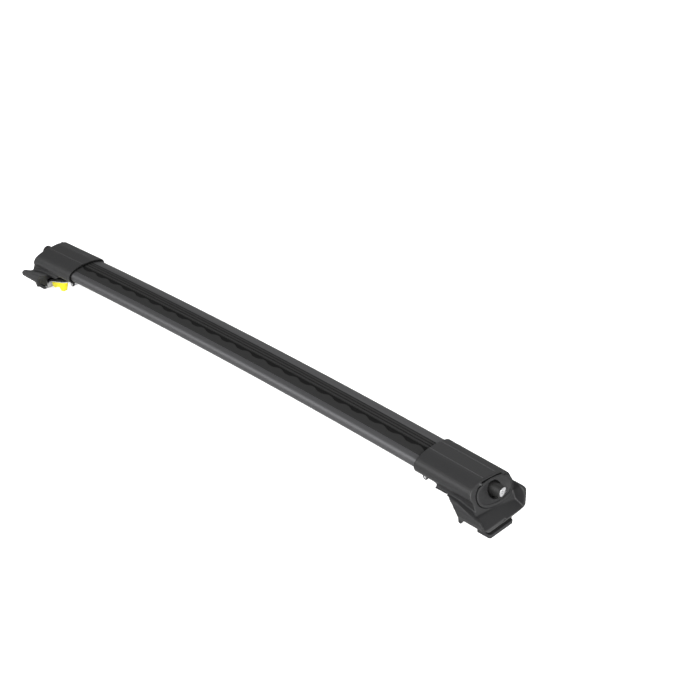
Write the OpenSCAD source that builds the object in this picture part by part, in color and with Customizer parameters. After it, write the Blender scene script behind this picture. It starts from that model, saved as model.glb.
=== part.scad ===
// Roof rack crossbar: a crowned aero extrusion on two lockable feet that clamp raised rails.
// Millimetres. X runs along the bar, +Y to the tail of its wing section, +Z up.
// The origin is on the ground under the middle of the bar.

/* [Bar] */
// Length of the extrusion from end to end
bar_l = 1030; // [800:10:1100]
// Width of the wing section from nose to tail
bar_w = 80; // [76:1:84]
// Height of the wing section
bar_h = 27; // [26:0.5:29]
// Wall of the extrusion
bar_wall = 2.2; // [1.6:0.1:2.8]
// Radius of the upward bow along the bar
crown_r = 13900; // [11000:100:13900]
// Height of the section's middle above the ground at each sleeve mouth
bar_rise = 77.8; // [76:0.2:82]
// Radius of the nose
nose_r = 9.5; // [8:0.5:10]
// Radius of the tail
tail_r = 6; // [4:0.5:7]
// Radius of the top skin in front of its crest, for each unit of width
top_front_roundness = 1.1; // [1.05:0.0125:1.375]
// Radius of the top skin behind its crest, for each unit of width
top_rear_roundness = 1.4375; // [1.1875:0.0125:1.875]

/* [Accessory slot] */
// Middle of the slot, behind the crest of the section
slot_y = 3; // [0:0.5:5]
// Opening of the slot
slot_mouth = 11; // [9:0.5:13]
// Width of the channel under the opening
slot_w = 22; // [18:0.5:24]
// Height of the channel
slot_h = 6.5; // [5:0.5:8]
// Front edge of the sunk deck that carries the strip
deck_front = -20; // [-22:0.5:-17]
// Rear edge of the sunk deck
deck_rear = 18; // [16:0.5:20]
// Depth of the deck below the crest
deck_depth = 3; // [2.6:0.1:3.4]

/* [Cover strip] */
// Mean place of the strip's wavy front edge
wave_y = -10.5; // [-13:0.5:-9]
// Height of one wave to each side
wave_a = 2.6; // [1:0.1:4]
// Length of one wave
wave_l = 66; // [50:1:80]
// Number of grip ribs
rib_n = 5; // [3:1:5]
// Spacing of the grip ribs
rib_pitch = 3.2; // [2.6:0.1:3.4]
// Width of one rib
rib_w = 1.3; // [0.8:0.1:1.8]
// Height of one rib
rib_h = 0.6; // [0.3:0.1:1]

/* [Sleeve] */
// How far the extrusion goes into the sleeve
sleeve_depth = 65; // [55:1:75]
// Wall of the sleeve
sleeve_wall = 3.8; // [3:0.1:4.2]
// Gap between the extrusion and the sleeve
sleeve_gap = 0.6; // [0.4:0.1:1]
// Depth of the flat panel taken off the sleeve's crest
panel_cut = 0.9; // [0.5:0.1:1.4]
// Length of the rubber lip around the bar in the mouth
lip_l = 7; // [5:0.5:9]

/* [Foot] */
// Place of the raised end of the foot along the sleeve, at the crest
end_u = 115; // [110:1:120]
// Lean of the end face away from the bar
end_lean = 22; // [16:1:26]
// Sweep of the end face towards the nose side
end_sweep = 7; // [0:1:9]
// Middle of the rail arch, from the sleeve mouth
arch_u = 66; // [63:0.5:67]
// Height of the arch's middle above the ground
arch_z = 21; // [19:0.5:22]
// Radius of the rail arch
arch_r = 37; // [35:0.5:37.5]
// Reach of the lower end face from the sleeve mouth
heel_u = 156; // [152:1:160]
// Half width of the foot over its ledge
ledge_y = 54; // [50:1:58]
// Height of the ledge's top edge beside the arch
ledge_z = 57; // [54:0.5:59]
// Height of the ledge where it reaches the end in front
ledge_end_z = 46; // [42:0.5:48]
// Bottom of the leg above the ground
leg_z = 15; // [14:0.5:16]
// Half width of the leg's lower end
leg_y = 29; // [27:0.5:33]

/* [End cover] */
// Middle of the cover across the bar
cover_y = 6; // [3:0.5:7]
// Height of the cover's middle
cover_z = 66.5; // [65:0.5:67]
// Length of the oval cover
cover_w = 78; // [72:1:79]
// Height of the oval cover
cover_h = 45; // [42:0.5:45.5]
// Thickness of the cover's plate
cover_t = 4; // [3:0.5:4.5]
// Running gap around the cover
cover_gap = 0.6; // [0.4:0.1:1]
// Radius of the dish around the lock
dish_r = 14.5; // [13.5:0.5:15]

/* [Lock] */
// Height of the lock plug above the ground
lock_z = 72; // [70:0.5:73]
// Offset of the plug above the middle of its housing
lock_rise = 2.2; // [1:0.1:2.4]
// Radius of the lock's round housing
knob_r = 11; // [9.5:0.5:12]
// Reach of the lock's face from the sleeve mouth
knob_u = 141; // [138:0.5:144]
// Radius of the turning lock plug
plug_r = 8.1; // [7:0.1:8.5]

/* [Rail clamp] */
// Middle of the hinge pin from the sleeve mouth
hinge_u = 13; // [12:0.5:15]
// Height of the hinge pin
hinge_z = 53.5; // [53:0.5:54]
// Radius of the hinge pin
hinge_r = 2.5; // [2:0.1:3]
// Width of the steel strap
strap_w = 50; // [44:1:52]
// Thickness of the steel strap
strap_t = 2; // [1.5:0.1:2.5]
// Thickness of the rubber liner on the strap
liner_t = 3; // [2:0.1:3.5]
// Radius of the barrel nut
nut_r = 5; // [4.5:0.1:5.5]
// Radius of the clamp bolt's shank
bolt_r = 3; // [2.5:0.1:3.5]

/* [Rail pad] */
// Width of the pad across the foot
pad_w = 59; // [54:1:60]
// Length of the pad along the bar
pad_l = 28; // [25:0.5:30]
// Offset of the pad towards the tail
pad_y = 3.5; // [1:0.5:4]
// Height of the pad's sole
sole_h = 6.5; // [6:0.5:8]

/* [Hidden] */
$fn = 24;

// Running clearance of a pin in its eye, and the cut allowance past a face
run = 0.05;
eps = 0.5;

// Places along the bar
mouth_x = bar_l / 2 - sleeve_depth;
crown_half = asin(bar_l / 2 / crown_r);
crown_z = bar_rise + crown_r * (1 - cos(asin(mouth_x / crown_r)));
tilt = asin((mouth_x + sleeve_depth / 2) / crown_r);
sleeve_t = sleeve_gap + sleeve_wall;
sleeve_bottom = bar_rise - bar_h / 2 - sleeve_t;
crest_z = bar_rise + bar_h / 2 + sleeve_t;

// Wing section: two top arcs, nose, two bottom arcs and tail, all tangent.
// Each arc is [centre y, centre z, radius].
function top_arc(r) = [0, bar_h / 2 - r, r];
function end_arc(side, r, t) = let(y = side * (bar_w / 2 - r)) [y, t[1] + sqrt(pow(t[2] - r, 2) - y * y), r];
function bottom_arc(e) = let(h = -bar_h / 2 - e[1],
    r = -(e[0] * e[0] + h * h - e[2] * e[2]) / (2 * (h + e[2])))
    [0, r - bar_h / 2, r];
top_f = top_arc(top_front_roundness * bar_w);
top_r = top_arc(top_rear_roundness * bar_w);
nose = end_arc(-1, nose_r, top_f);
tail = end_arc(1, tail_r, top_r);
low_f = bottom_arc(nose);
low_r = bottom_arc(tail);
function bearing(a, b) = let(t = atan2(b[1] - a[1], b[0] - a[0])) t < 0 ? t + 360 : t;
function arc(a, d, from, to, n) = [for (i = [0:n - 1]) let(t = from + (to - from) * i / n)
    [a[0] + (a[2] + d) * cos(t), a[1] + (a[2] + d) * sin(t)]];
// Section outline, grown by d all round
function wing(d) = concat(
    arc(top_f, d, 90, bearing(top_f, nose), 6),
    arc(nose, d, bearing(top_f, nose), bearing(low_f, nose), 8),
    arc(low_f, d, bearing(low_f, nose), 270, 6),
    arc(low_r, d, 270, bearing(low_r, tail), 6),
    arc(tail, d, bearing(low_r, tail), 360 + bearing(top_r, tail), 8),
    arc(top_r, d, bearing(top_r, tail), 90, 6));

// Sweeps: along the bowed bar, along the straight sleeve, and along X or Y
module along_bar(half = crown_half)
    translate([0, 0, crown_z - crown_r])
        rotate([90, 0, 0])
            rotate([0, 0, 90 - half])
                rotate_extrude(angle = 2 * half, $fn = 256)
                    rotate([0, 0, -90]) translate([0, crown_r]) children();
module along_x(from, to) translate([from, 0, 0]) rotate([90, 0, 90]) linear_extrude(to - from) children();
module along_y(from, to) translate([0, to, 0]) rotate([90, 0, 0]) linear_extrude(to - from) children();
module in_foot(side) mirror([side < 0 ? 1 : 0, 0, 0]) translate([mouth_x, 0, 0]) children();
module in_sleeve() translate([0, 0, bar_rise]) rotate([0, tilt, 0]) children();
module box(low, high) translate(low) cube(high - low);

// Bar
deck_floor = bar_h / 2 - deck_depth;
module band(from, to, low, high) translate([from, low]) square([to - from, high - low]);
module bar_profile() difference() {
    polygon(wing(0));
    difference() {
        polygon(wing(-bar_wall));
        band(deck_front - bar_wall, deck_rear + bar_wall, deck_floor - bar_wall, bar_h);
        band(slot_y - slot_w / 2 - bar_wall, slot_y + slot_w / 2 + bar_wall,
            deck_floor - slot_h - 2 * bar_wall, bar_h);
        for (side = [-1, 1])
            band(slot_y + side * slot_w / 2 + (side - 1) * bar_wall / 2,
                slot_y + side * slot_w / 2 + (side + 1) * bar_wall / 2, -bar_h, bar_h);
    }
    band(deck_front, deck_rear, deck_floor, bar_h);
    band(slot_y - slot_mouth / 2, slot_y + slot_mouth / 2, deck_floor - bar_wall - eps, bar_h);
    band(slot_y - slot_w / 2, slot_y + slot_w / 2, deck_floor - bar_wall - slot_h, deck_floor - bar_wall);
}
screw_us = [22, 46];
screw_y = slot_y;
screw_r = 2.5;
screw_head_r = 4.6;
screw_head_h = 2;
module bar_extrusion() color("dimgray") difference() {
    along_bar() bar_profile();
    for (side = [-1, 1], u = screw_us) in_foot(side) screw_axis(u) cylinder(r = screw_r + run, h = bar_h / 2);
}
module screw_axis(u) in_sleeve() translate([u, screw_y, -bar_h / 2 - sleeve_t]) children();

// Strip that fills the slot between the sleeves
strip_rear = deck_rear - 0.3;
stem_gap = 0.3;
wave_n = floor(2 * mouth_x / wave_l);
wave_steps = 6;
strip_end = mouth_x - 1.6;
function wave_edge(i) = let(x = -strip_end + i * wave_l / wave_steps)
    [x, wave_y - wave_a * sin(360 * i / wave_steps)];
module cover_strip() color("black") intersection() {
    along_bar() {
        intersection() {
            polygon(wing(-0.1));
            band(wave_y - 2 * wave_a, strip_rear, deck_floor, bar_h);
        }
        band(slot_y - slot_mouth / 2 + stem_gap, slot_y + slot_mouth / 2 - stem_gap,
            deck_floor - bar_wall - 2, deck_floor + eps);
        for (i = [0:rib_n - 1])
            band(strip_rear - 1 - i * rib_pitch - rib_w, strip_rear - 1 - i * rib_pitch,
                deck_floor + 1, rib_top(strip_rear - 1 - i * rib_pitch) + rib_h);
    }
    linear_extrude(2 * crown_z) polygon(concat(
        [for (i = [0:floor(2 * strip_end / wave_l * wave_steps)]) wave_edge(i)],
        [[strip_end + 1, wave_y], [strip_end + 1, bar_w], [-strip_end - 1, bar_w]]));
}
function rib_top(y) = top_r[1] + sqrt(top_r[2] * top_r[2] - y * y) - 0.1;

// Foot housing
end_plane_z = crest_z - tan(tilt) * end_u;
function end_reach(z, y) = end_u + (end_plane_z - z) * tan(end_lean) + y * tan(end_sweep);
cover_u = end_reach(cover_z, cover_y);
// Local frame of the end face: +Z out of the face, -X up the face, +Y to the tail
module on_end() translate([cover_u, cover_y, cover_z])
    rotate([0, 0, -end_sweep]) rotate([0, 90 - end_lean, 0]) children();
// A superellipse, fuller than an ellipse, grown by the same amount all round
oval_n = 40;
oval_power = 2 / 2.3;
function bulge(v) = sign(v) * pow(abs(v), oval_power);
module oval(grow) polygon([for (i = [0:oval_n - 1]) let(t = 360 * i / oval_n)
    [(cover_h / 2 + grow) * bulge(cos(t)), (cover_w / 2 + grow) * bulge(sin(t))]]);
skirt_t = 6;
skirt_bottom = 22;
skirt_l = 10;
pocket_u = arch_u + arch_r + 15;
pocket_y = strap_w / 2 + 2;
hollow_depth = 24;
// Side outlines of the leg: the front ledge falls towards the end, the rear one ends in a shoulder
leg_foot = [[arch_u, leg_z], [heel_u - 9, leg_z], [heel_u - 5, leg_z + 6]];
leg_side_front = concat(leg_foot, [
    [heel_u - 2, leg_z + 18], [heel_u - 4, ledge_end_z - 8], [heel_u - 12, ledge_end_z],
    [arch_u + 30, ledge_z], [arch_u - 20, ledge_z + 3]]);
leg_side_rear = concat(leg_foot, [
    [heel_u, leg_z + 14], [heel_u, ledge_z - 5], [heel_u - 3, ledge_z + 4], [heel_u - 8, ledge_z + 9],
    [heel_u - 28, ledge_z + 15], [heel_u - 38, ledge_z + 13], [heel_u - 52, ledge_z + 4],
    [arch_u - 20, ledge_z + 4]]);
core_y = bar_w / 2 + sleeve_t - 3;
leg_front = [
    [leg_y, leg_z], [ledge_y - 8, leg_z + 13], [ledge_y - 2, leg_z + 16], [ledge_y, leg_z + 23],
    [ledge_y, ledge_z - 9], [ledge_y - 3, ledge_z - 2], [core_y, ledge_z + 4]];
leg_rear = [
    [leg_y, leg_z], [ledge_y - 8, leg_z + 14], [ledge_y - 2, leg_z + 18], [ledge_y, leg_z + 24],
    [ledge_y, ledge_z], [ledge_y - 3, ledge_z + 7], [ledge_y - 9, ledge_z + 13], [core_y, ledge_z + 16]];
module behind_end() on_end() translate([0, 0, -2 * heel_u])
    linear_extrude(2 * heel_u) square(4 * bar_w, center = true);
module before_end() on_end() linear_extrude(heel_u) square(4 * bar_w, center = true);
module leg_blank() intersection() {
    union() {
        along_y(-ledge_y - 1, 0) polygon(leg_side_front);
        along_y(0, ledge_y + 1) polygon(leg_side_rear);
    }
    along_x(0, heel_u + 1) polygon(concat(leg_rear, turned([for (p = leg_front) [-p[0], p[1]]])));
    linear_extrude(2 * crest_z) heel_plan();
}
// Plan of the leg, with a wide corner in front and a tighter one behind
heel_front_r = 24;
heel_rear_r = 13;
module heel_plan() rotate([0, 0, -end_sweep / 2]) {
    w = ledge_y + 4;
    rear_w = ledge_y + 9;
    translate([heel_u - heel_front_r, -w + heel_front_r]) circle(heel_front_r);
    translate([heel_u - heel_rear_r, rear_w - heel_rear_r]) circle(heel_rear_r);
    translate([0, -w + heel_front_r]) square([heel_u, w + rear_w - heel_front_r - heel_rear_r]);
    translate([0, -w]) square([heel_u - heel_front_r, w]);
    square([heel_u - heel_rear_r, rear_w]);
}
// Room in front of the cover: its own outline, and a falling apron between the shoulders
scoop_gap = 1.6;
apron_z = cover_z - cover_h / 2 * cos(end_lean) - scoop_gap;
apron_drop = 15;
module scoop() {
    on_end() linear_extrude(heel_u) oval(scoop_gap);
    intersection() {
        before_end();
        along_y(-bar_w, bar_w) polygon([
            [arch_u, apron_z], [end_reach(apron_z, 0), apron_z], [heel_u + 2, apron_z - apron_drop],
            [heel_u + 2, crest_z], [arch_u, crest_z]]);
        linear_extrude(2 * crest_z) polygon([
            [arch_u, -core_y + 6], [heel_u, -ledge_y + 3], [2 * heel_u, -ledge_y + 3],
            [2 * heel_u, ledge_y - 9], [heel_u, ledge_y - 9],
            [arch_u + 45, core_y - 6], [arch_u, core_y - 6]]);
    }
}
module core() intersection() {
    along_y(-core_y, core_y) polygon([
        [arch_u - 20, ledge_z + 2], [arch_u, leg_z + 17], [heel_u, leg_z + 17],
        [heel_u, bar_rise], [arch_u - 20, bar_rise]]);
    behind_end();
}
module upper_body() intersection() {
    in_sleeve() along_x(0, heel_u) intersection() {
        polygon(wing(sleeve_t));
        band(-bar_w, bar_w, -bar_h, bar_h / 2 + sleeve_t - panel_cut);
    }
    behind_end();
}
// One piece on each side of the foot, between two distances from its middle
module both_sides(inner, outer) for (side = [-1, 1])
    along_y(side > 0 ? inner : -outer, side > 0 ? outer : -inner) children();
module skirts() both_sides(ledge_y - skirt_t - 3, ledge_y - 3)
    polygon([[arch_u + arch_r - 5, skirt_bottom + 20], [arch_u + arch_r - 2, skirt_bottom],
        [arch_u + arch_r + 3, skirt_bottom - 1], [arch_u + arch_r + skirt_l, skirt_bottom + 12],
        [arch_u + arch_r + skirt_l, ledge_z - 10]]);
module arch() along_y(-bar_w, bar_w) {
    translate([arch_u, arch_z]) circle(arch_r, $fn = 64);
    translate([-eps, -eps]) square([arch_u + eps, arch_z + arch_r + eps]);
}
ear_t = 4;
ear_y = strap_w / 2 + 1;
module ears() both_sides(ear_y, ear_y + ear_t) {
    translate([hinge_u, hinge_z]) circle(2 * hinge_r);
    translate([hinge_u - 2 * hinge_r, hinge_z]) square([4 * hinge_r, sleeve_bottom + 8 - hinge_z]);
}
module foot_housing() color([0.16, 0.16, 0.17]) difference() {
    union() {
        moulding();
        hinge_lugs(lug_r, knuckle_l + lug_gap, cover_pin_l + 0.8);
    }
    cover_hinge() cylinder(r = cover_pin_r + run, h = 2 * cover_pin_l, center = true);
}
module moulding() difference() {
    union() {
        upper_body();
        difference() {
            union() {
                difference() {
                    leg_blank();
                    scoop();
                }
                core();
            }
            arch();
        }
        skirts();
        ears();
    }
    // Bore for the extrusion, seen in the foot's own frame
    translate([-mouth_x, 0, 0]) along_bar(crown_half + 0.005) polygon(wing(sleeve_gap));
    in_sleeve() along_x(-eps, lip_l + 0.3) polygon(wing(sleeve_gap + lip_t));
    // Seat of the cover, and the hollow behind it that holds the bolt head
    on_end() translate([0, 0, -cover_t - 0.4]) linear_extrude(heel_u) oval(cover_gap);
    on_end() translate([0, 0, -hollow_depth]) linear_extrude(heel_u) oval(-2);
    lock_axis() translate([lock_rise, 0, boss_back - 2 - knob_u]) cylinder(r = dish_r + 0.8, h = heel_u);
    // Pocket for the strap's hook and the barrel nut
    box([arch_u + arch_r - 12, -pocket_y, leg_z - eps], [pocket_u, pocket_y, pocket_top]);
    bolt_axis() translate([0, 0, -60]) cylinder(r = bolt_r + 0.4, h = 60);
    bolt_axis() cylinder(r = head_r + 1.2, h = 20);
    for (u = screw_us) screw_axis(u) {
        cylinder(r = screw_r + 0.3, h = 2 * sleeve_t);
        translate([0, 0, -eps]) cylinder(r = screw_head_r + 0.3, h = screw_head_h + eps);
    }
    translate([hinge_u, 0, hinge_z]) rotate([90, 0, 0])
        cylinder(r = hinge_r + run, h = 2 * bar_w, center = true);
    cover_hinge() cylinder(r = knuckle_r + lug_gap, h = 2 * knuckle_l, center = true);
}

// Rubber lip that closes the sleeve around the bar
lip_t = 1.6;
module mouth_seal() color("black") difference() {
    in_sleeve() along_x(-1, lip_l) difference() {
        polygon(wing(sleeve_gap + lip_t - 0.1));
        polygon(wing(-2));
    }
    translate([-mouth_x, 0, 0]) along_bar() polygon(wing(0.1));
}

// Plug in the open end of the extrusion
plug_l = 12;
end_drop = crown_r * (cos(crown_half) - cos(asin(mouth_x / crown_r)));
module bar_end_plug() color("black")
    translate([sleeve_depth, 0, bar_rise + end_drop]) rotate([0, crown_half, 0])
        along_x(-plug_l, 0) intersection() {
            polygon(wing(-bar_wall - 0.3));
            band(-bar_w, slot_y - slot_w / 2 - bar_wall - 0.3, -bar_h, deck_floor - bar_wall - 0.3);
        }

module bar_screws() color("silver") for (u = screw_us) screw_axis(u) {
    cylinder(r = screw_head_r, h = screw_head_h, $fn = 24);
    cylinder(r = screw_r, h = sleeve_t + bar_wall + 3, $fn = 24);
}

// End cover, hinged on a pin along its top edge
cover_pin_r = 1.2;
cover_pin_l = 25;
knuckle_l = 21.6;
knuckle_r = 3;
cover_axis_x = -cover_h / 2 + 2.5;
cover_axis_z = 0;
lug_r = 2.6;
lug_gap = 0.3;
rim_w = 4.4;
boss_back = 111;
boss_wall = 3;
rim_h = 1.4;
module cover_hinge() on_end() translate([cover_axis_x, 0, cover_axis_z]) rotate([90, 0, 0]) children();
module hinge_lugs(r, from, to) for (side = [0, 1]) cover_hinge() mirror([0, 0, side]) translate([0, 0, from])
    cylinder(r = r, h = to - from);
// Everything above the cover's pin that lies off its rounded knuckle
module over_knuckle() difference() {
    on_end() translate([cover_axis_x - 10, -bar_w, -10]) cube([10, 2 * bar_w, 20]);
    cover_hinge() cylinder(r = knuckle_r, h = 4 * bar_w, center = true);
}
module end_cover() color([0.18, 0.18, 0.19]) difference() {
    union() {
        on_end() translate([0, 0, -cover_t]) linear_extrude(cover_t) oval(0);
        on_end() translate([0, 0, -1]) linear_extrude(rim_h + 1) difference() {
            oval(0);
            oval(-rim_w);
        }
        intersection() {
            lock_axis() translate([lock_rise, 0, boss_back - knob_u])
                cylinder(r = dish_r, h = heel_u - boss_back);
            on_end() translate([0, 0, -2 * heel_u]) linear_extrude(2 * heel_u - eps) oval(0);
        }
    }
    lock_axis() translate([lock_rise, 0, boss_back + boss_wall - knob_u])
        cylinder(r1 = knob_r + 1.5, r2 = dish_r + 3, h = 24);
    lock_axis() translate([lock_rise, 0, -60]) cylinder(r = knob_r + 0.02, h = 60);
    cover_hinge() cylinder(r = cover_pin_r + run, h = 2 * cover_pin_l, center = true);
    over_knuckle();
    hinge_lugs(lug_r + lug_gap, knuckle_l, bar_w);
}
module cover_hinge_pin() color("silver") cover_hinge()
    cylinder(r = cover_pin_r, h = 2 * cover_pin_l - 1, center = true);

// Key lock: a housing fixed in the cover, and a plug that sits high in it and turns
lock_y = cover_y;
knob_l = 30;
module lock_axis() translate([knob_u, lock_y, lock_z]) rotate([0, 90, 0]) children();
module lock_housing() color([0.1, 0.1, 0.1]) lock_axis() difference() {
    translate([lock_rise, 0, -knob_l]) cylinder(r = knob_r, h = knob_l);
    translate([0, 0, -knob_l + 6]) cylinder(r = plug_r + run, h = knob_l);
}
key_w = 2;
key_l = 7.6;
module lock_plug() color("silver") lock_axis() difference() {
    translate([0, 0, -knob_l + 6.2]) cylinder(r = plug_r, h = knob_l - 5.6);
    translate([-key_l / 2, -key_w / 2, -8]) cube([key_l, key_w, 12]);
}

// Rail clamp: strap, liner and tab swing on the hinge pin
strap_path = [[hinge_u + 1, hinge_z + 3], [hinge_u + 22, 48], [hinge_u + 35, 42], [hinge_u + 63, 33.5],
    [hinge_u + 83, 28], [hinge_u + 91, 20], [hinge_u + 92.5, 9.2], [hinge_u + 102.5, 8.4]];
// A path moved sideways by d, with mitred corners
function side_of(p, i) = let(v = p[i + 1] - p[i]) [-v[1], v[0]] / norm(v);
function moved(p, d) = [for (i = [0:len(p) - 1])
    let(m = side_of(p, max(i - 1, 0)), n = side_of(p, min(i, len(p) - 2))) p[i] + d * (m + n) / (1 + m * n)];
function turned(p) = [for (i = [len(p) - 1:-1:0]) p[i]];
module ribbon(p, low, high) polygon(concat(moved(p, high), turned(moved(p, low))));
eye_r = hinge_r + 2;
module clamp_strap() color("silver") difference() {
    union() {
        across_strap(0) ribbon(strap_path, -strap_t / 2, strap_t / 2);
        across_strap(0) translate([hinge_u, hinge_z]) circle(eye_r);
    }
    translate([hinge_u, 0, hinge_z]) rotate([90, 0, 0])
        cylinder(r = hinge_r + run, h = 2 * strap_w, center = true);
    // Slot in the hook for the clamp bolt
    box([hinge_u + 95, -bolt_r - 1.5, 0], [hinge_u + 110, bolt_r + 1.5, 16]);
}
liner_path = [for (i = [1:4]) strap_path[i]];
liner_gap = 0.1;
liner_top = strap_t / 2 + liner_gap + liner_t;
liner_rib_n = 9;
module across_strap(inset) along_y(-strap_w / 2 + inset, strap_w / 2 - inset) children();
module strap_liner() color("black") {
    across_strap(1) ribbon(liner_path, strap_t / 2 + liner_gap, liner_top);
    for (i = [0:liner_rib_n - 1])
        let(f = (i + 0.5) / liner_rib_n, p = liner_path[1] * (1 - f) + liner_path[2] * f)
        across_strap(1) translate(p + side_of(liner_path, 1) * (liner_top + 0.4))
            rotate(liner_lean) square([1.4, 1.6], center = true);
}
liner_lean = atan2(liner_path[2][1] - liner_path[1][1], liner_path[2][0] - liner_path[1][0]);
module strap_tab() color("gold") along_y(-strap_w / 2 + 2, strap_w / 2 - 2) difference() {
    polygon([[hinge_u + 34, 43], [hinge_u + 80, 30], [hinge_u + 78, 18], [hinge_u + 72, 16],
        [hinge_u + 62, 21], [hinge_u + 55, 24], [hinge_u + 50, 17], [hinge_u + 41, 19]]);
    polygon(concat(moved(strap_path, -strap_t / 2 - liner_gap), [[hinge_u + 103, 80], [hinge_u + 3, 80]]));
}
module strap_hinge_pin() color("silver") translate([hinge_u, 0, hinge_z]) rotate([90, 0, 0])
    cylinder(r = hinge_r, h = 2 * (ear_y + ear_t) - 0.4, center = true);

// Clamp bolt: its head sits in the hollow behind the cover, its nut in the strap's hook
nut_u = hinge_u + 99.5;
nut_z = 9 + nut_r + strap_t / 2;
bolt_seat = 38;
bolt_reach = bolt_seat - nut_z;
pocket_top = 30;
head_r = 5;
head_h = 6;
module bolt_axis() translate([nut_u, 0, bolt_seat]) children();
module clamp_bolt() color("silver") bolt_axis() difference() {
    union() {
        translate([0, 0, 1.6]) cylinder(r = head_r, h = head_h);
        translate([0, 0, -bolt_reach - nut_r + 0.6]) cylinder(r = bolt_r, h = bolt_reach + nut_r + 1.4);
    }
    translate([0, 0, 4.2]) cylinder(r = 2.9, h = head_h, $fn = 6);
}
module bolt_washer() color("silver") bolt_axis() difference() {
    cylinder(r = head_r + 0.6, h = 1.55);
    translate([0, 0, -1]) cylinder(r = bolt_r + 0.2, h = 4);
}
module barrel_nut() color("dimgray") difference() {
    translate([nut_u, 0, nut_z]) rotate([90, 0, 0]) cylinder(r = nut_r, h = strap_w - 4, center = true);
    bolt_axis() translate([0, 0, -60]) cylinder(r = bolt_r + run, h = 70);
}

// Rail pad: a hard carrier on the leg and a softer sole under it
pad_u = pocket_u + 1;
pad_r = 4;
module pad_plan(inset) {
    w = pad_w - 2 * inset;
    l = pad_l - 2 * inset;
    r = pad_r - inset / 2;
    translate([pad_u + pad_l / 2, pad_y]) {
        for (sx = [-1, 1], sy = [-1, 1]) translate([sx * (l / 2 - r), sy * (w / 2 - r)]) circle(r);
        square([l, w - 2 * r], center = true);
        square([l - 2 * r, w], center = true);
    }
}
module rail_pad() color([0.3, 0.3, 0.3]) linear_extrude(sole_h) pad_plan(0);
module pad_carrier() color("black") translate([0, 0, sole_h]) linear_extrude(leg_z - sole_h) pad_plan(1.5);

bar_extrusion();
cover_strip();
in_foot(1) foot_housing();  // foot_housing_right
in_foot(-1) foot_housing();  // foot_housing_left
in_foot(1) mouth_seal();  // mouth_seal_right
in_foot(-1) mouth_seal();  // mouth_seal_left
in_foot(1) bar_end_plug();  // bar_end_plug_right
in_foot(-1) bar_end_plug();  // bar_end_plug_left
in_foot(1) bar_screws();  // bar_screws_right
in_foot(-1) bar_screws();  // bar_screws_left
in_foot(1) end_cover();  // end_cover_right
in_foot(-1) end_cover();  // end_cover_left
in_foot(1) lock_housing();  // lock_housing_right
in_foot(-1) lock_housing();  // lock_housing_left
in_foot(1) lock_plug();  // lock_plug_right
in_foot(-1) lock_plug();  // lock_plug_left
in_foot(1) cover_hinge_pin();  // cover_hinge_pin_right
in_foot(-1) cover_hinge_pin();  // cover_hinge_pin_left
in_foot(1) clamp_strap();  // clamp_strap_right
in_foot(-1) clamp_strap();  // clamp_strap_left
in_foot(1) strap_liner();  // strap_liner_right
in_foot(-1) strap_liner();  // strap_liner_left
in_foot(1) strap_tab();  // strap_tab_right
in_foot(-1) strap_tab();  // strap_tab_left
in_foot(1) strap_hinge_pin();  // strap_hinge_pin_right
in_foot(-1) strap_hinge_pin();  // strap_hinge_pin_left
in_foot(1) clamp_bolt();  // clamp_bolt_right
in_foot(-1) clamp_bolt();  // clamp_bolt_left
in_foot(1) bolt_washer();  // bolt_washer_right
in_foot(-1) bolt_washer();  // bolt_washer_left
in_foot(1) barrel_nut();  // barrel_nut_right
in_foot(-1) barrel_nut();  // barrel_nut_left
in_foot(1) rail_pad();  // rail_pad_right
in_foot(-1) rail_pad();  // rail_pad_left
in_foot(1) pad_carrier();  // pad_carrier_right
in_foot(-1) pad_carrier();  // pad_carrier_left
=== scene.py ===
"""Dresses the roof rack crossbar for its portrait: moulded feet, bowed bar, grip strip and rail clamps."""

import math

import bmesh
import bpy
from mathutils import Matrix, Vector


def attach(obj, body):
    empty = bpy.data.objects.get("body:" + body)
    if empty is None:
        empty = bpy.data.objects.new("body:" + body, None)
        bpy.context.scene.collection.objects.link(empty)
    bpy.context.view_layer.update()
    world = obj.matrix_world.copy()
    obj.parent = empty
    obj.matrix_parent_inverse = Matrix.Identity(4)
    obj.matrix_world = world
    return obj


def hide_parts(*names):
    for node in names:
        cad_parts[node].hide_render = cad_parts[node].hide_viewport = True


bl_info = {
    "name": "Roof Rack Crossbar",
    "version": (1, 0, 0),
    "blender": (4, 5, 0),
    "location": "3D View > Sidebar > Crossbar",
    "description": "Builds the visible pieces of a roof rack crossbar around its frame",
    "category": "Object",
}

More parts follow.
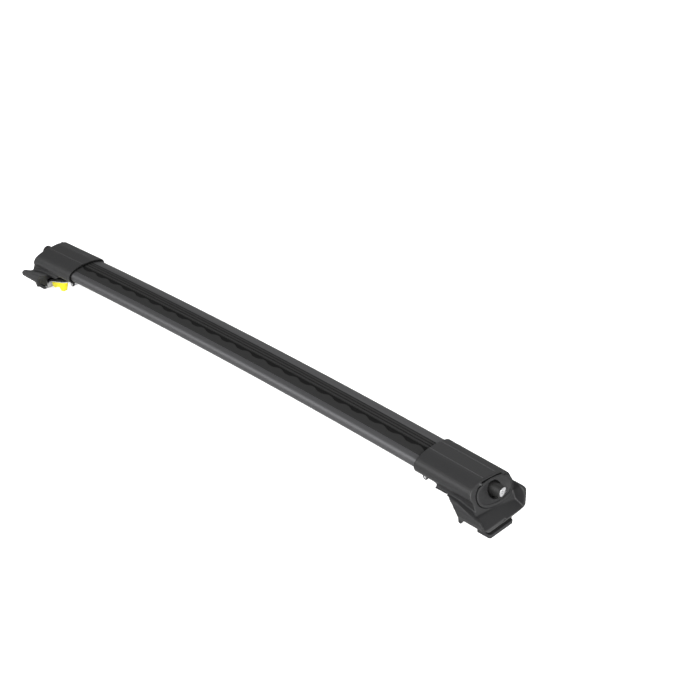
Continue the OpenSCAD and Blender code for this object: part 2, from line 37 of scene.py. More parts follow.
MM = 0.001
AIM_HEIGHT = 60 * MM
SIDES = ("right", "left")
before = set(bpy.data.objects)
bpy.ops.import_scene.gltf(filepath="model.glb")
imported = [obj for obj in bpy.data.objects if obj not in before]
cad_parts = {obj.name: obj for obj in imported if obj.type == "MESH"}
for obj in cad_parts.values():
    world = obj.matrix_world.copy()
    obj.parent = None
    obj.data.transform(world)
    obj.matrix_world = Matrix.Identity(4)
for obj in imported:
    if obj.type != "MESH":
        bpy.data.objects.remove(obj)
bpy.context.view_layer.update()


class BarSizes(bpy.types.PropertyGroup):
    """Sizes of the bar's wing section and of its bow."""

    width: bpy.props.FloatProperty(
        name="Width", description="Nose to tail of the section", default=80 * MM, unit="LENGTH"
    )
    height: bpy.props.FloatProperty(
        name="Height", description="Height of the section", default=27 * MM, unit="LENGTH"
    )
    nose: bpy.props.FloatProperty(
        name="Nose", description="Radius of the nose", default=9.5 * MM, unit="LENGTH"
    )
    tail: bpy.props.FloatProperty(
        name="Tail", description="Radius of the tail", default=6 * MM, unit="LENGTH"
    )
    front_arc: bpy.props.FloatProperty(
        name="Front arc", description="Radius of the top skin before its crest",
        default=88 * MM, unit="LENGTH",
    )
    rear_arc: bpy.props.FloatProperty(
        name="Rear arc", description="Radius of the top skin behind its crest",
        default=115 * MM, unit="LENGTH",
    )
    bow: bpy.props.FloatProperty(
        name="Bow", description="Radius of the upward bow", default=13900 * MM, unit="LENGTH"
    )
    half_length: bpy.props.FloatProperty(
        name="Half length", description="From the middle to the end", default=515 * MM, unit="LENGTH"
    )
    crown: bpy.props.FloatProperty(
        name="Crown", description="Height of the section's middle at mid bar",
        default=85.086 * MM, unit="LENGTH",
    )
    deck_front: bpy.props.FloatProperty(
        name="Deck front", description="Front edge of the sunk deck", default=-20 * MM, unit="LENGTH"
    )
    deck_rear: bpy.props.FloatProperty(
        name="Deck rear", description="Rear edge of the sunk deck", default=15.6 * MM, unit="LENGTH"
    )
    deck_depth: bpy.props.FloatProperty(
        name="Deck depth", description="Depth of the sunk deck", default=3 * MM, unit="LENGTH"
    )
    plate_front: bpy.props.FloatProperty(
        name="Plate front", description="Front edge of the strip's seat", default=-27 * MM, unit="LENGTH"
    )
    plate_depth: bpy.props.FloatProperty(
        name="Plate depth", description="Depth of the seat before the deck", default=1 * MM, unit="LENGTH"
    )
    stations: bpy.props.IntProperty(
        name="Stations", description="Steps along the bow", default=72, min=8, max=200
    )


class StripSizes(bpy.types.PropertyGroup):
    """Sizes of the grip strip on the deck."""

    wave_place: bpy.props.FloatProperty(
        name="Wave place", description="Mean place of the wavy edge", default=-13 * MM, unit="LENGTH"
    )
    wave_height: bpy.props.FloatProperty(
        name="Wave height", description="Height of one wave", default=2.7 * MM, unit="LENGTH"
    )
    wave_length: bpy.props.FloatProperty(
        name="Wave length", description="Length of one wave", default=40.2 * MM, unit="LENGTH"
    )
    wave_lead: bpy.props.FloatProperty(
        name="Wave lead", description="From the left end to the first crest",
        default=37.6 * MM, unit="LENGTH",
    )
    channel_floor: bpy.props.FloatProperty(
        name="Channel floor", description="Height of the low channel over the deck",
        default=0.9 * MM, unit="LENGTH",
    )
    rib_floor: bpy.props.FloatProperty(
        name="Rib floor", description="Height between the ribs over the deck",
        default=1.4 * MM, unit="LENGTH",
    )
    half_length: bpy.props.FloatProperty(
        name="Half length", description="From the middle to the end", default=448.4 * MM, unit="LENGTH"
    )
    rib_pitch: bpy.props.FloatProperty(
        name="Rib pitch", description="Spacing of the grip ribs", default=6.7 * MM, unit="LENGTH"
    )
    rib_width: bpy.props.FloatProperty(
        name="Rib width", description="Width of one rib", default=4.3 * MM, unit="LENGTH"
    )
    rib_height: bpy.props.FloatProperty(
        name="Rib height", description="Height of one rib", default=1.1 * MM, unit="LENGTH"
    )
    stations: bpy.props.IntProperty(
        name="Stations", description="Steps along the bow", default=400, min=40, max=800
    )
    rib_ledge: bpy.props.FloatProperty(
        name="Rib ledge", description="Ledge between the channel and the first rib",
        default=0.8 * MM, unit="LENGTH",
    )
    gap: bpy.props.FloatProperty(
        name="Gap", description="Gap between the strip and its seat's edges", default=0.3 * MM, unit="LENGTH"
    )
    corner: bpy.props.FloatProperty(
        name="Corner", description="Rounding of the plate and the ribs", default=0.3 * MM, unit="LENGTH"
    )
    skin: bpy.props.FloatProperty(
        name="Skin", description="Depth of the plate under the bar's skin", default=0.1 * MM, unit="LENGTH"
    )
    # The shade sheet is a thin near-black sheet in the channel and grooves, painted shade that makes them
    # darker than the rubber around them
    shade_sheet: bpy.props.FloatProperty(
        name="Shade sheet", description="Half the lining's thickness", default=0.1 * MM, unit="LENGTH"
    )
    shade_sheet_gap: bpy.props.FloatProperty(
        name="Lining gap", description="Gap between a lining and the ribs", default=0.02 * MM, unit="LENGTH"
    )
    rear_groove: bpy.props.FloatProperty(
        name="Rear groove", description="Groove behind the last rib", default=2.1 * MM, unit="LENGTH"
    )
    rib_count: bpy.props.IntProperty(
        name="Ribs", description="Number of grip ribs", default=3, min=1, max=5
    )


class FootSizes(bpy.types.PropertyGroup):
    """Rounding of the feet's pieces, the lines on the sleeves and the tab's tongue."""

    shell_grain: bpy.props.FloatProperty(
        name="Shell grain", description="Mesh size of the moulded shells", default=0.9 * MM, unit="LENGTH"
    )
    shell_rounds: bpy.props.IntProperty(
        name="Shell rounds", description="Passes that round the shell's edges", default=5, min=0, max=60
    )
    edge: bpy.props.FloatProperty(
        name="Edge", description="Rounding of small pieces", default=0.5 * MM, unit="LENGTH"
    )
    mouth: bpy.props.FloatProperty(
        name="Mouth", description="Sleeve mouth from the bar's middle", default=450 * MM, unit="LENGTH"
    )
    middle_height: bpy.props.FloatProperty(
        name="Middle height", description="Height of the section's middle at the mouth",
        default=77.8 * MM, unit="LENGTH",
    )
    tilt: bpy.props.FloatProperty(
        name="Tilt", description="Fall of the sleeve", default=math.radians(1.989), subtype="ANGLE"
    )
    sleeve_wall: bpy.props.FloatProperty(
        name="Sleeve wall", description="Wall and gap around the bar", default=4.4 * MM, unit="LENGTH"
    )
    panel_cut: bpy.props.FloatProperty(
        name="Panel cut", description="Depth of the flat on the crest", default=0.9 * MM, unit="LENGTH"
    )
    front_line: bpy.props.FloatProperty(
        name="Front line", description="Place of the front line", default=-8 * MM, unit="LENGTH"
    )
    rear_line: bpy.props.FloatProperty(
        name="Rear line", description="Place of the rear line", default=20 * MM, unit="LENGTH"
    )
    line_start: bpy.props.FloatProperty(
        name="Line start", description="Start of the lines from the mouth", default=1.5 * MM, unit="LENGTH"
    )
    line_end: bpy.props.FloatProperty(
        name="Line end", description="End of the lines from the mouth", default=111 * MM, unit="LENGTH"
    )
    line_width: bpy.props.FloatProperty(
        name="Line width", description="Width of a line at its foot", default=1.3 * MM, unit="LENGTH"
    )
    line_rise: bpy.props.FloatProperty(
        name="Line rise", description="Rise of a line over the sleeve", default=0.5 * MM, unit="LENGTH"
    )
    line_root: bpy.props.FloatProperty(
        name="Line root", description="How deep a line sits in the sleeve", default=0.7 * MM, unit="LENGTH"
    )
    line_round: bpy.props.FloatProperty(
        name="Line round", description="Rounding of a line's top", default=0.3 * MM, unit="LENGTH"
    )
    fine_edge: bpy.props.FloatProperty(
        name="Fine edge", description="Rounding of thin pieces", default=0.3 * MM, unit="LENGTH"
    )
    key_edge: bpy.props.FloatProperty(
        name="Key edge", description="Rounding of the lock's plug", default=0.2 * MM, unit="LENGTH"
    )
    tab_depth: bpy.props.FloatProperty(
        name="Tab depth", description="How much of the tab's width shows", default=9 * MM, unit="LENGTH"
    )


class Finishes(bpy.types.PropertyGroup):
    """Colours of the pieces."""

    bar: bpy.props.FloatVectorProperty(
        name="Bar", description="Dark anodised skin", default=(0.076, 0.076, 0.0785), subtype="COLOR"
    )
    housing: bpy.props.FloatVectorProperty(
        name="Housing", description="Grained plastic", default=(0.0135, 0.0135, 0.014), subtype="COLOR"
    )
    rubber: bpy.props.FloatVectorProperty(
        name="Rubber", description="Strip, seals and liner",
        default=(0.0085, 0.0085, 0.0085), subtype="COLOR",
    )
    steel: bpy.props.FloatVectorProperty(
        name="Steel", description="Strap, pins and plug", default=(0.62, 0.62, 0.63), subtype="COLOR"
    )
    tab: bpy.props.FloatVectorProperty(
        name="Tab", description="Tab under the strap", default=(0.78, 0.7, 0.015), subtype="COLOR"
    )
    pad: bpy.props.FloatVectorProperty(
        name="Pad", description="Grey sole", default=(0.02, 0.02, 0.021), subtype="COLOR"
    )
    floor: bpy.props.FloatVectorProperty(
        name="Floor", description="Pale floor", default=(0.7, 0.7, 0.7), subtype="COLOR"
    )


def new_material(name, color, metallic, roughness):
    """A material with a Principled shader, and its node tree and shader."""
    material = bpy.data.materials.new(name)
    material.use_nodes = True
    shader = material.node_tree.nodes["Principled BSDF"]
    shader.inputs["Base Color"].default_value = (*color, 1)
    shader.inputs["Metallic"].default_value = metallic
    shader.inputs["Roughness"].default_value = roughness
    shader.inputs["Specular IOR Level"].default_value = 0.3
    return material, material.node_tree, shader


def colour(name):
    """A colour from the panel."""
    return getattr(bpy.context.scene.crossbar_finishes, name)


def object_noise(tree, scale, stretch=(1, 1, 1), detail=2):
    """Noise on Object coordinates, stretched along the given axes."""
    place = tree.nodes.new("ShaderNodeTexCoord")
    mapping = tree.nodes.new("ShaderNodeMapping")
    mapping.inputs["Scale"].default_value = stretch
    noise = tree.nodes.new("ShaderNodeTexNoise")
    noise.inputs["Scale"].default_value = scale
    noise.inputs["Detail"].default_value = detail
    tree.links.new(place.outputs["Object"], mapping.inputs["Vector"])
    tree.links.new(mapping.outputs["Vector"], noise.inputs["Vector"])
    return noise


def vary_roughness(tree, shader, noise, low, high):
    """Roughness that wanders between two values with the noise."""
    spread = tree.nodes.new("ShaderNodeMapRange")
    spread.inputs["To Min"].default_value = low
    spread.inputs["To Max"].default_value = high
    tree.links.new(noise.outputs["Fac"], spread.inputs["Value"])
    tree.links.new(spread.outputs["Result"], shader.inputs["Roughness"])


def grain(tree, shader, noise, height):
    """A fine surface grain from the noise."""
    bump = tree.nodes.new("ShaderNodeBump")
    bump.inputs["Distance"].default_value = height
    bump.inputs["Strength"].default_value = 0.5
    tree.links.new(noise.outputs["Fac"], bump.inputs["Height"])
    tree.links.new(bump.outputs["Normal"], shader.inputs["Normal"])


def anodised_aluminium():
    material, tree, shader = new_material("Dark anodised", colour("bar"), 0.75, 0.36)
    vary_roughness(tree, shader, object_noise(tree, 60, (0.05, 8, 8)), 0.4, 0.5)
    return material


def moulded_plastic():
    material, tree, shader = new_material("Moulded plastic", colour("housing"), 0, 0.5)
    noise = object_noise(tree, 1400)
    vary_roughness(tree, shader, noise, 0.42, 0.55)
    grain(tree, shader, noise, 0.00006)
    return material


def painted_highlight_edge():
    """The housing's plastic made 2.6 times lighter, a painted highlight along each raised line on the
    sleeves.
    """
    # painted highlight: the housing colour lifted 2.6 times to stand in for light caught by the raised lines
    shade = [2.6 * c for c in colour("housing")]
    material, tree, shader = new_material("Painted highlight edge", shade, 0, 0.35)
    vary_roughness(tree, shader, object_noise(tree, 900), 0.32, 0.42)
    return material


def lock_black():
    material, tree, shader = new_material("Lock black", (0.008, 0.008, 0.008), 0, 0.5)
    vary_roughness(tree, shader, object_noise(tree, 500), 0.45, 0.55)
    return material


def soft_rubber():
    material, tree, shader = new_material("Soft rubber", colour("rubber"), 0, 0.65)
    grain(tree, shader, object_noise(tree, 900), 0.00005)
    return material


# Near-black dull material: the seals at the sleeve mouths, and painted shade on the sheets in the strip's
# channel and grooves and on the pad carriers
def black_seal_and_painted_shade():
    material, tree, shader = new_material("Black seal and painted shade", (0.004, 0.004, 0.004), 0, 0.8)
    shader.inputs["Specular IOR Level"].default_value = 0.1
    return material


def rolled_steel():
    material, tree, shader = new_material("Rolled steel", colour("steel"), 1, 0.3)
    vary_roughness(tree, shader, object_noise(tree, 90, (1, 12, 1)), 0.22, 0.36)
    return material


def yellow_plastic():
    material, tree, shader = new_material("Yellow plastic", colour("tab"), 0, 0.4)
    vary_roughness(tree, shader, object_noise(tree, 400), 0.36, 0.46)
    return material


def sole_rubber():
    material, tree, shader = new_material("Sole rubber", colour("pad"), 0, 0.6)
    grain(tree, shader, object_noise(tree, 1200), 0.00006)
    return material


def put_piece(name, bm, body, nodes, material, angle=35):
    """Makes the finished mesh an object in its place, standing for its nodes."""
    mesh = bpy.data.meshes.new(name)
    bm.to_mesh(mesh)
    bm.free()
    piece = bpy.data.objects.new(name.replace(" ", "_").lower(), mesh)
    bpy.context.scene.collection.objects.link(piece)
    mesh.materials.append(material)
    mesh.shade_smooth()
    mesh.set_sharp_from_angle(angle=math.radians(angle))
    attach(piece, body)
    if nodes:
        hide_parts(*nodes)
    return piece


def copy_of(node):
    """A welded copy of a node's mesh, with flat faces joined."""
    bm = bmesh.new()
    bm.from_mesh(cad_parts[node].data)
    bmesh.ops.remove_doubles(bm, verts=bm.verts, dist=0.00002)
    bmesh.ops.dissolve_limit(
        bm, angle_limit=math.radians(0.6), use_dissolve_boundaries=False, verts=bm.verts, edges=bm.edges
    )
    return bm


def round_edges(bm, width, sharper=38, segments=2):
    """Rounds every edge whose faces turn by more than the angle."""
    edges = [e for e in bm.edges if len(e.link_faces) == 2 and e.calc_face_angle(0) > math.radians(sharper)]
    bmesh.ops.bevel(
        bm, geom=edges, offset=width, offset_type="OFFSET", segments=segments, profile=0.5,
        affect="EDGES", material=-1, clamp_overlap=True,
    )


def rounded_copy(name, node, body, material, width, angle=35):
    """A piece with the node's shape and rounded edges."""
    bm = copy_of(node)
    round_edges(bm, width)
    return put_piece(name, bm, body, [node], material, angle)


def moulded_copy(name, node, body, material, grain_size, rounds, angle=60):
    """A copy whose edges flow into each other as a moulding's do."""
    source = bpy.data.meshes.new(name + " source")
    bm = copy_of(node)
    bmesh.ops.triangulate(bm, faces=bm.faces)
    bm.to_mesh(source)
    bm.free()
    carrier = bpy.data.objects.new(name + " source", source)
    bpy.context.scene.collection.objects.link(carrier)
    remesh = carrier.modifiers.new("Remesh", "REMESH")
    remesh.mode = "VOXEL"
    remesh.voxel_size = grain_size
    settled = bpy.data.meshes.new_from_object(carrier.evaluated_get(bpy.context.evaluated_depsgraph_get()))
    bpy.data.objects.remove(carrier)
    bm = bmesh.new()
    bm.from_mesh(settled)
    for _ in range(rounds):
        bmesh.ops.smooth_vert(
            bm, verts=bm.verts, factor=0.5, use_axis_x=True, use_axis_y=True, use_axis_z=True
        )
    return put_piece(name, bm, body, [node], material, angle)


def arc_points(center, radius, start, end, steps):
    """Points from start to just before end, in degrees, as (y, z)."""
    angles = [math.radians(start + (end - start) * i / steps) for i in range(steps)]
    return [(center[0] + radius * math.cos(a), center[1] + radius * math.sin(a)) for a in angles]


def bearing(a, b):
    """Direction from a to b in degrees."""
    return math.degrees(math.atan2(b[1] - a[1], b[0] - a[0])) % 360


def wing_arcs(bar):
    """Centre and radius of the section's six arcs, all tangent."""
    half = bar.height / 2
    front = ((0, half - bar.front_arc), bar.front_arc)
    rear = ((0, half - bar.rear_arc), bar.rear_arc)

    def end_circle(side, radius, top):
        """The nose or the tail, tangent to its top arc."""
        y = side * (bar.width / 2 - radius)
        return ((y, top[0][1] + math.sqrt((top[1] - radius) ** 2 - y * y)), radius)

    def bottom_circle(end):
        """The bottom arc that is tangent to the nose or the tail."""
        (y, z), r = end
        h = -half - z
        radius = -(y * y + h * h - r * r) / (2 * (h + r))
        return ((0, radius - half), radius)

    nose = end_circle(-1, bar.nose, front)
    tail = end_circle(1, bar.tail, rear)
    return front, rear, nose, tail, bottom_circle(nose), bottom_circle(tail)


def top_height(bar, y):
    """Height of the top skin over the section's middle."""
    front, rear = wing_arcs(bar)[:2]
    center, radius = front if y < 0 else rear
    return center[1] + math.sqrt(radius * radius - y * y)


def bar_section(bar):
    """Outline of the bar with its sunk deck and the seat before it, as (y, z)."""
    front, rear, nose, tail, low_front, low_rear = wing_arcs(bar)
    floor = bar.height / 2 - bar.deck_depth
    lip = 0.35 * MM
    ring = [(bar.deck_front, floor)]
    for i in range(5):
        y = bar.deck_front + (bar.plate_front - bar.deck_front) * i / 4
        ring.append((y, top_height(bar, y) - bar.plate_depth))
    ring += [(bar.plate_front, top_height(bar, bar.plate_front) - lip)]
    ring += [(bar.plate_front - lip, top_height(bar, bar.plate_front - lip))]
    meeting = bearing(front[0], nose[0])
    at_seat = math.degrees(math.acos((bar.plate_front - 3 * lip) / front[1]))
    ring += arc_points(front[0], front[1], at_seat, meeting, 5)
    ring += arc_points(nose[0], nose[1], meeting, bearing(low_front[0], nose[0]), 16)
    ring += arc_points(low_front[0], low_front[1], bearing(low_front[0], nose[0]), 270, 8)
    ring += arc_points(low_rear[0], low_rear[1], 270, bearing(low_rear[0], tail[0]), 10)
    ring += arc_points(tail[0], tail[1], bearing(low_rear[0], tail[0]), 360 + bearing(rear[0], tail[0]), 14)
    at_deck = math.degrees(math.acos((bar.deck_rear + 0.5 * MM) / rear[1]))
    ring += arc_points(rear[0], rear[1], bearing(rear[0], tail[0]), at_deck, 8)
    ring += [(bar.deck_rear, top_height(bar, bar.deck_rear) - 0.5 * MM), (bar.deck_rear, floor)]
    return ring


def swept_along_bow(bm, ring, bar, half_length, stations):
    """Closes the ring into a face and spins it along the bow."""
    pivot = Vector((0, 0, bar.crown - bar.bow))
    half = math.asin(half_length / bar.bow)
    verts = [bm.verts.new((0, y, bar.crown + z)) for y, z in ring]
    face = bm.faces.new(verts)
    bmesh.ops.rotate(bm, verts=verts, cent=pivot, matrix=Matrix.Rotation(-half, 3, "Y"))
    spun = bmesh.ops.spin(
        bm, geom=[face], cent=pivot, axis=(0, 1, 0), dvec=(0, 0, 0), angle=2 * half,
        steps=stations, use_merge=False, use_duplicate=False,
    )
    bmesh.ops.recalc_face_normals(bm, faces=bm.faces)
    return spun


class CROSSBAR_OT_bar(bpy.types.Operator):
    """Builds the bowed bar with its sunk deck"""

    bl_idname = "crossbar.bar"
    bl_label = "Bar"

    def execute(self, context):
        bar = context.scene.crossbar_bar
        bm = bmesh.new()
        swept_along_bow(bm, bar_section(bar), bar, bar.half_length, bar.stations)
        put_piece("Bar", bm, "rack", ["bar_extrusion"], anodised_aluminium(), 30)
        return {"FINISHED"}


def rib_places(bar, strip):
    """Front and rear edge of each grip rib, the rearmost first."""
    last = bar.deck_rear - strip.gap - strip.rear_groove
    rears = [last - i * strip.rib_pitch for i in range(strip.rib_count)]
    return [(rear - strip.rib_width, rear) for rear in rears]


def strip_section(bar, strip):
    """Outline of the strip's plate, step, channel and ribs, as (y, z)."""
    deck = bar.height / 2 - bar.deck_depth
    front, rear = bar.plate_front + strip.gap, bar.deck_rear - strip.gap
    ring = [(front, top_height(bar, front) - bar.plate_depth + strip.skin)]
    ring.append((front, top_height(bar, front) - strip.skin - strip.corner))
    reach = strip.wave_place - strip.corner - front - strip.corner
    for i in range(9):
        y = front + strip.corner + reach * i / 8
        ring.append((y, top_height(bar, y) - strip.skin))
    ring.append((strip.wave_place, top_height(bar, strip.wave_place) - strip.skin - strip.corner))
    ring.append((strip.wave_place, deck + strip.channel_floor))
    ribs = rib_places(bar, strip)
    ledge = ribs[-1][0] - strip.rib_ledge
    ring += [(ledge, deck + strip.channel_floor), (ledge, deck + strip.rib_floor)]
    for low, high in reversed(ribs):
        level = min(deck + strip.rib_floor + strip.rib_height, top_height(bar, high) - strip.skin)
        ring += [
            (low, deck + strip.rib_floor),
            (low, level - strip.corner),
            (low + strip.corner, level),
            (high - strip.corner, level),
            (high, level - strip.corner),
            (high, deck + strip.rib_floor),
        ]
    seat = bar.deck_front + strip.gap
    ring += [(rear, deck + strip.rib_floor), (rear, deck), (seat, deck)]
    ring.append((seat, top_height(bar, bar.deck_front) - bar.plate_depth + strip.skin))
    return ring[::-1]


def shade_sheet_places(bar, strip):
    """Front, rear and height of the painted shade sheet in the channel and in each groove."""
    deck = bar.height / 2 - bar.deck_depth
    ribs = rib_places(bar, strip)
    deepest = strip.wave_place - 1.5 * strip.wave_height
    ledge = ribs[-1][0] - strip.rib_ledge
    places = [(deepest, ledge - strip.shade_sheet, deck + strip.channel_floor)]
    ends = [bar.deck_rear - strip.gap] + [low - strip.shade_sheet_gap for low, _ in ribs[:-1]]
    for (_, high), end in zip(ribs, ends):
        places.append((high + strip.shade_sheet_gap, end, deck + strip.rib_floor))
    return places


def wave_the_step(bm, bar, strip):
    """Moves the plate's rear edge into waves, along the top skin."""
    edges = [strip.wave_place, strip.wave_place - strip.corner]
    for vert in bm.verts:
        if min(abs(vert.co.y - y) for y in edges) > 1e-6:
            continue
        phase = 2 * math.pi * (vert.co.x + strip.half_length - strip.wave_lead) / strip.wave_length
        shifted = vert.co.y + strip.wave_height * math.cos(phase)
        if vert.co.z > channel_height(bar, strip, vert.co.x):
            vert.co.z += top_height(bar, shifted) - top_height(bar, vert.co.y)
        vert.co.y = shifted


def channel_height(bar, strip, x):
    """Height just over the channel's floor, at x along the bow."""
    middle = bar.crown - bar.bow + math.sqrt(bar.bow * bar.bow - x * x)
    return middle + bar.height / 2 - bar.deck_depth + strip.channel_floor + 2 * strip.shade_sheet


class CROSSBAR_OT_strip(bpy.types.Operator):
    """Builds the grip strip with its wavy step, channel and ribs"""

    bl_idname = "crossbar.strip"
    bl_label = "Grip strip"

    def execute(self, context):
        bar, strip = context.scene.crossbar_bar, context.scene.crossbar_strip
        bm = bmesh.new()
        swept_along_bow(bm, strip_section(bar, strip), bar, strip.half_length, strip.stations)
        wave_the_step(bm, bar, strip)
        put_piece("Grip strip", bm, "rack", ["cover_strip"], soft_rubber(), 30)
        # thin near-black sheets on the channel floor and between the ribs: painted shade that makes them read
        # darker than the rubber, as deep shade would
        bm = bmesh.new()
        for low, high, level in shade_sheet_places(bar, strip):
            under, over = level - strip.shade_sheet, level + strip.shade_sheet
            ring = [(low, under), (high, under), (high, over), (low, over)]
            swept_along_bow(bm, ring, bar, strip.half_length - 0.5 * MM, bar.stations)
        put_piece("Channel painted shade", bm, "rack", ["cover_strip"], black_seal_and_painted_shade(), 30)
        return {"FINISHED"}


class CROSSBAR_OT_feet(bpy.types.Operator):
    """Builds the moulded shells of both feet and their seals"""

    bl_idname = "crossbar.feet"
    bl_label = "Foot shells"

    def execute(self, context):
        foot = context.scene.crossbar_foot
        plastic, rubber, highlight_paint = moulded_plastic(), black_seal_and_painted_shade(), painted_highlight_edge()
        for side in SIDES:
            moulded_copy(
                f"Foot shell {side}", f"foot_housing_{side}", "rack", plastic,
                foot.shell_grain, foot.shell_rounds,
            )
            rounded_copy(f"Mouth lip {side}", f"mouth_seal_{side}", "rack", rubber, foot.fine_edge)
            # each raised line on the sleeve takes the painted highlight material
            for place in (foot.front_line, foot.rear_line):
                self.moulded_line(context, side, place, highlight_paint)
        return {"FINISHED"}

    @staticmethod
    def moulded_line(context, side, place, highlight_paint):
        """One fine raised line along the top of a sleeve, coloured as a painted highlight."""
        bar, foot = context.scene.crossbar_bar, context.scene.crossbar_foot
        drop = max(bar.height / 2 - top_height(bar, place), foot.panel_cut)
        crest = bar.height / 2 + foot.sleeve_wall - drop
        size = (foot.line_end - foot.line_start, foot.line_width, foot.line_rise + foot.line_root)
        bm = bmesh.new()
        line = bmesh.ops.create_cube(bm, size=1)["verts"]
        bmesh.ops.scale(bm, verts=line, vec=size)
        edges = [e for e in bm.edges if abs(e.verts[0].co.x - e.verts[1].co.x) > MM and e.verts[0].co.z > 0]
        bmesh.ops.bevel(
            bm, geom=edges, offset=foot.line_round, offset_type="OFFSET", segments=3, profile=0.5,
            affect="EDGES", material=-1, clamp_overlap=True,
        )
        middle = ((foot.line_start + foot.line_end) / 2, place, crest + (foot.line_rise - foot.line_root) / 2)
        bmesh.ops.translate(bm, verts=bm.verts, vec=middle)
        bmesh.ops.rotate(bm, verts=bm.verts, cent=(0, 0, 0), matrix=Matrix.Rotation(foot.tilt, 3, "Y"))
        bmesh.ops.translate(bm, verts=bm.verts, vec=(foot.mouth, 0, foot.middle_height))
        if side == "left":
            bmesh.ops.mirror(bm, geom=bm.verts[:] + bm.edges[:] + bm.faces[:], axis="X", merge_dist=-1)
            bmesh.ops.delete(bm, geom=[v for v in bm.verts if v.co.x > 0], context="VERTS")
            bmesh.ops.recalc_face_normals(bm, faces=bm.faces)
        name = f"Sleeve line {side} {round(place / MM)}"
        put_piece(name.replace("-", "m"), bm, "rack", [], highlight_paint, 50)


class CROSSBAR_OT_locks(bpy.types.Operator):
    """Builds the end covers and their key locks"""

    bl_idname = "crossbar.locks"
    bl_label = "End covers and locks"

    def execute(self, context):
        foot = context.scene.crossbar_foot
        plastic, black, steel = moulded_plastic(), lock_black(), rolled_steel()
        for side in SIDES:
            rounded_copy(f"Cover {side}", f"end_cover_{side}", f"cover_{side}", plastic, foot.edge)
            rounded_copy(
                f"Lock barrel {side}", f"lock_housing_{side}", f"cover_{side}", black,
                foot.fine_edge,
            )
            rounded_copy(
                f"Key plug {side}", f"lock_plug_{side}", f"lock_{side}", steel, foot.key_edge
            )
        return {"FINISHED"}


class CROSSBAR_OT_clamps(bpy.types.Operator):
    """Builds the hinged straps with their liners and tabs"""

    bl_idname = "crossbar.clamps"
    bl_label = "Rail clamps"

    def execute(self, context):
        foot = context.scene.crossbar_foot
        steel, rubber, yellow = rolled_steel(), soft_rubber(), yellow_plastic()
        for side in SIDES:
            body = f"strap_{side}"
            rounded_copy(f"Strap {side}", f"clamp_strap_{side}", body, steel, foot.fine_edge)
            rounded_copy(f"Liner {side}", f"strap_liner_{side}", body, rubber, foot.fine_edge)
            self.tab(side, foot, yellow)
        return {"FINISHED"}

    @staticmethod
    def tab(side, foot, yellow):
        """The tab's tongue, at the front of the left strap and the rear of the right one."""
        bm = copy_of(f"strap_tab_{side}")
        ys = [v.co.y for v in bm.verts]
        cut = min(ys) + foot.tab_depth if side == "left" else max(ys) - foot.tab_depth
        bmesh.ops.bisect_plane(
            bm, geom=bm.verts[:] + bm.edges[:] + bm.faces[:], dist=1e-6,
            plane_co=(0, cut, 0), plane_no=(0, 1, 0), clear_outer=side == "left", clear_inner=side == "right",
        )
        bmesh.ops.holes_fill(bm, edges=[e for e in bm.edges if e.is_boundary], sides=0)
        bmesh.ops.recalc_face_normals(bm, faces=bm.faces)
        round_edges(bm, foot.edge)
        put_piece(f"Tab {side}", bm, f"strap_{side}", [f"strap_tab_{side}"], yellow)


class CROSSBAR_OT_pads(bpy.types.Operator):
    """Builds the rail pads with their carriers"""

    bl_idname = "crossbar.pads"
    bl_label = "Rail pads"

    def execute(self, context):
        foot = context.scene.crossbar_foot
        sole, plastic = sole_rubber(), black_seal_and_painted_shade()
        for side in SIDES:
            rounded_copy(f"Sole {side}", f"rail_pad_{side}", "rack", sole, foot.edge)
            # the carriers take the near-black material as painted shade, standing in for the shadow gap
            # between the housing and the sole
            rounded_copy(f"Carrier {side}", f"pad_carrier_{side}", "rack", plastic, foot.fine_edge)
        return {"FINISHED"}


class CROSSBAR_OT_small_parts(bpy.types.Operator):
    """Gives the pins, screws, bolts, nuts and plugs their finishes"""

    bl_idname = "crossbar.small_parts"
    bl_label = "Small parts"

    def execute(self, context):
        steel, black = rolled_steel(), lock_black()
        for name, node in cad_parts.items():
            if node.hide_render:
                continue
            node.data.materials.clear()
            dark = name.startswith(("bar_end_plug", "cover_hinge_pin"))
            node.data.materials.append(black if dark else steel)
        return {"FINISHED"}


def pale_floor():
    """A pale floor that the camera sees as white."""
    material, tree, shader = new_material("Floor", colour("floor"), 0, 0.9)
    bpy.ops.mesh.primitive_plane_add(size=30, location=(0, 0, -0.5 * MM))
    floor = bpy.context.object
    floor.name = "Floor"
    ray = tree.nodes.new("ShaderNodeLightPath")
    glow = tree.nodes.new("ShaderNodeEmission")
    glow.inputs["Strength"].default_value = 0.72
    nothing = tree.nodes.new("ShaderNodeEmission")
    nothing.inputs["Strength"].default_value = 0
    seen = tree.nodes.new("ShaderNodeMixShader")
    both = tree.nodes.new("ShaderNodeAddShader")
    tree.links.new(ray.outputs["Is Camera Ray"], seen.inputs["Fac"])
    tree.links.new(nothing.outputs["Emission"], seen.inputs[1])
    tree.links.new(glow.outputs["Emission"], seen.inputs[2])
    tree.links.new(shader.outputs["BSDF"], both.inputs[0])
    tree.links.new(seen.outputs["Shader"], both.inputs[1])
    tree.links.new(both.outputs["Shader"], tree.nodes["Material Output"].inputs["Surface"])
    floor.data.materials.append(material)


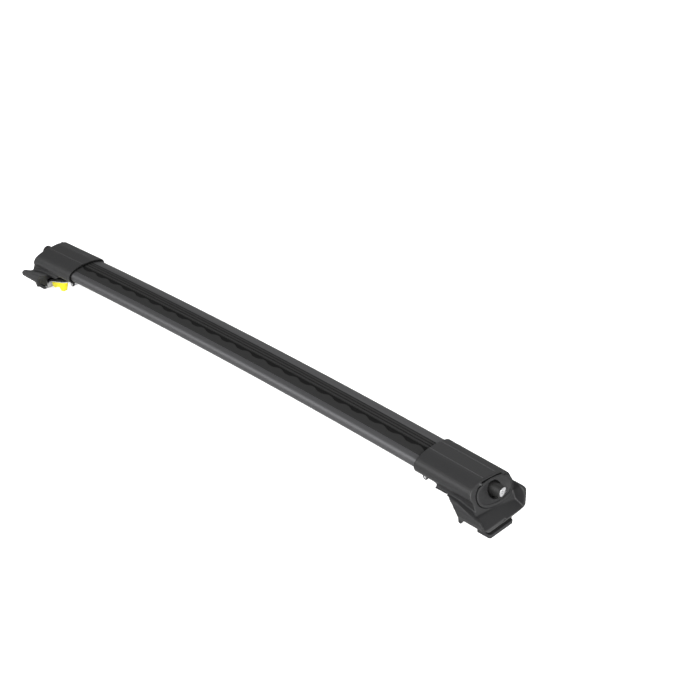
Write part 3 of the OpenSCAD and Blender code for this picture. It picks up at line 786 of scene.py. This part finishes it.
def white_world(scene):
    """Soft light from all round, with a backdrop that the camera sees as white."""
    scene.world = bpy.data.worlds.new("Studio")
    scene.world.use_nodes = True
    nodes, links = scene.world.node_tree.nodes, scene.world.node_tree.links
    sky = nodes["Background"]
    sky.inputs["Color"].default_value = (1, 1, 1, 1)
    sky.inputs["Strength"].default_value = 0.42
    backdrop = nodes.new("ShaderNodeBackground")
    backdrop.inputs["Color"].default_value = (1, 1, 1, 1)
    backdrop.inputs["Strength"].default_value = 1
    looked_at = nodes.new("ShaderNodeLightPath")
    choice = nodes.new("ShaderNodeMixShader")
    links.new(looked_at.outputs["Is Camera Ray"], choice.inputs["Fac"])
    links.new(sky.outputs["Background"], choice.inputs[1])
    links.new(backdrop.outputs["Background"], choice.inputs[2])
    links.new(choice.outputs["Shader"], nodes["World Output"].inputs["Surface"])


def soft_lamp(scene, name, place, aim_x, length, depth, power):
    """A broad lamp, its sizes in metres and its power in watts, aimed at the bar at aim_x."""
    lamp = bpy.data.lights.new(name, "AREA")
    lamp.shape = "RECTANGLE"
    lamp.size = length
    lamp.size_y = depth
    lamp.energy = power
    lamp_object = bpy.data.objects.new(name, lamp)
    lamp_object.location = place
    aim = Vector((aim_x, 0, AIM_HEIGHT)) - Vector(place)
    lamp_object.rotation_euler = aim.to_track_quat("-Z", "Y").to_euler()
    scene.collection.objects.link(lamp_object)


def portrait_camera(scene):
    """The camera that was fitted to the photograph."""
    camera = bpy.data.cameras.new("Camera")
    camera.lens = 72.66
    camera.sensor_width = 36
    camera_object = bpy.data.objects.new("Camera", camera)
    place = Vector((1.62827, -1.44769, 1.39230))
    forward = Vector((-0.58671, 0.62428, -0.51580)).normalized()
    right = Vector((0.72516, 0.68853, 0.00850))
    right = (right - right.dot(forward) * forward).normalized()
    up = right.cross(forward)
    turn = Matrix((right, up, -forward)).transposed().to_4x4()
    camera_object.matrix_world = Matrix.Translation(place) @ turn
    scene.collection.objects.link(camera_object)
    scene.camera = camera_object


class CROSSBAR_OT_stage(bpy.types.Operator):
    """Sets the floor, the light and the camera"""

    bl_idname = "crossbar.stage"
    bl_label = "Stage"

    def execute(self, context):
        scene = context.scene
        pale_floor()
        white_world(scene)
        soft_lamp(scene, "Key", (0.8, -2.0, 2.4), 0, 1.8, 1.8, 10)
        soft_lamp(scene, "Back", (-1.2, 2.4, 2.4), 0, 2.2, 2.2, 12)
        soft_lamp(scene, "Side", (2.7, -0.7, 1.0), 0, 1.4, 1.4, 75)
        soft_lamp(scene, "Front", (-1.3, -1.9, 1.7), -1.3, 3.4, 2.4, 90)
        soft_lamp(scene, "End", (1.7, -1.3, 0.75), 0.6, 0.9, 0.9, 26)
        portrait_camera(scene)
        scene.view_settings.view_transform = "Standard"
        return {"FINISHED"}


STEPS = (
    CROSSBAR_OT_bar,
    CROSSBAR_OT_strip,
    CROSSBAR_OT_feet,
    CROSSBAR_OT_locks,
    CROSSBAR_OT_clamps,
    CROSSBAR_OT_pads,
    CROSSBAR_OT_small_parts,
    CROSSBAR_OT_stage,
)


class CROSSBAR_PT_panel(bpy.types.Panel):
    """Lists the crossbar's steps and sizes"""

    bl_idname = "CROSSBAR_PT_panel"
    bl_label = "Crossbar"
    bl_space_type = "VIEW_3D"
    bl_region_type = "UI"
    bl_category = "Crossbar"

    def draw(self, context):
        for group in (context.scene.crossbar_bar, context.scene.crossbar_strip,
                      context.scene.crossbar_foot, context.scene.crossbar_finishes):
            box = self.layout.box()
            for name in group.__annotations__:
                box.prop(group, name)
        for step in STEPS:
            self.layout.operator(step.bl_idname)


GROUPS = {
    "crossbar_bar": BarSizes,
    "crossbar_strip": StripSizes,
    "crossbar_foot": FootSizes,
    "crossbar_finishes": Finishes,
}


def register():
    for part in (*GROUPS.values(), *STEPS, CROSSBAR_PT_panel):
        bpy.utils.register_class(part)
    for name, group in GROUPS.items():
        setattr(bpy.types.Scene, name, bpy.props.PointerProperty(type=group))


def unregister():
    for name in GROUPS:
        delattr(bpy.types.Scene, name)
    for part in (CROSSBAR_PT_panel, *reversed(STEPS), *reversed(GROUPS.values())):
        bpy.utils.unregister_class(part)


def main():
    register()
    for step in STEPS:
        group, name = step.bl_idname.split(".")
        getattr(getattr(bpy.ops, group), name)()


if __name__ == "__main__":
    main()
